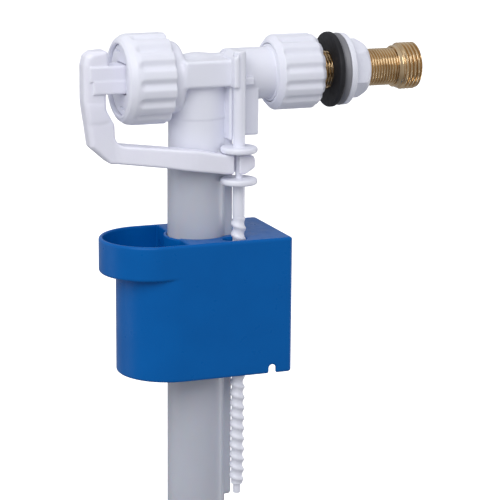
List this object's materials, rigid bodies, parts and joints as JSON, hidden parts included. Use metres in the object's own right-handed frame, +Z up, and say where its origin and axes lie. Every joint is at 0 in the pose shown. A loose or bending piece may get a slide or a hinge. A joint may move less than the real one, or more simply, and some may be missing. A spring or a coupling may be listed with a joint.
{
  "type": "toilet fill valve",
  "caption": "Side-entry toilet fill valve: ribbed head with a C-shaped lever, bell float with a cup lip on a riser tube, adjusting screw and threaded brass inlet.",
  "frame": {"origin": "on the inlet axis, at the outer end of the full inlet thread, where its end chamfer starts", "axes": "+X along the inlet axis, out of the threaded end; +Z up, against the riser; +Y to the back, away from the lever's fork and the adjusting screw"},
  "size_m": [0.1565, 0.0474, 0.2717],
  "materials": {
    "white_plastic": "moulded, semi-gloss, cool white",
    "lever_plastic": "moulded, softly glossy, slightly milky white",
    "tube_plastic": "extruded, satin, greyish white",
    "blue_plastic": "moulded, semi-gloss, strong blue",
    "grey_plastic": "moulded, satin, mid grey",
    "acetal": "moulded, satin, natural ivory",
    "green_plastic": "moulded, satin, pale green",
    "red_fibre": "pressed fibre, matt, red-brown",
    "black_rubber": "moulded, matt black",
    "brass": "turned, bright",
    "steel": "drawn stainless wire"
  },
  "bodies": {
    "valve": {"valve_body": "white_plastic", "bonnet": "white_plastic", "pivot_pin": "steel", "inlet_nozzle": "acetal", "nozzle_o_ring": "black_rubber", "flow_restrictor": "green_plastic", "riser_tube": "tube_plastic", "riser_o_ring": "black_rubber", "inlet_gasket": "black_rubber", "inlet_filter": "acetal", "inlet_tail": "brass", "rubber_washer": "black_rubber", "plastic_washer": "grey_plastic", "thread_adapter": "brass", "adapter_seal": "red_fibre"},
    "lever": {"lever": "lever_plastic", "pilot_pad": "black_rubber"},
    "main_seal": {"diaphragm": "black_rubber", "diaphragm_insert": "acetal"},
    "screw": {"adjusting_screw": "lever_plastic"},
    "float": {"float_shell": "blue_plastic", "screw_plate": "lever_plastic"},
    "cap": {"cap_nut": "white_plastic"},
    "coupling": {"coupling_nut": "white_plastic"},
    "nut": {"backnut": "white_plastic"}
  },
  "joints": [
    {"name": "lever_pivot", "type": "hinge", "parent": "valve", "child": "lever", "pos_m": [-0.1348, 0, 0.0034], "axis": [0, -1, 0], "range_deg": [0, 3]},
    {"name": "float_stroke", "type": "slide", "parent": "valve", "child": "screw", "axis": [0, 0, 1], "range_m": [0, 0.0024]},
    {"name": "float_height", "type": "slide", "parent": "screw", "child": "float", "axis": [0, 0, 1], "range_m": [-0.075, 0.009]},
    {"name": "seal_travel", "type": "slide", "parent": "valve", "child": "main_seal", "axis": [1, 0, 0], "range_m": [0, 0.0012]},
    {"name": "cap_nut_turn", "type": "hinge", "parent": "valve", "child": "cap", "pos_m": [-0.1276, 0, 0], "axis": [1, 0, 0], "continuous": true},
    {"name": "coupling_nut_turn", "type": "hinge", "parent": "valve", "child": "coupling", "pos_m": [-0.0592, 0, 0], "axis": [1, 0, 0], "continuous": true},
    {"name": "backnut_turn", "type": "hinge", "parent": "valve", "child": "nut", "pos_m": [-0.0306, 0, 0], "axis": [1, 0, 0], "continuous": true}
  ],
  "couplings": [
    {"joint": "float_stroke", "follows": "lever_pivot", "m_per_rad": 0.045},
    {"joint": "seal_travel", "follows": "lever_pivot", "m_per_rad": 0.0229}
  ]
}
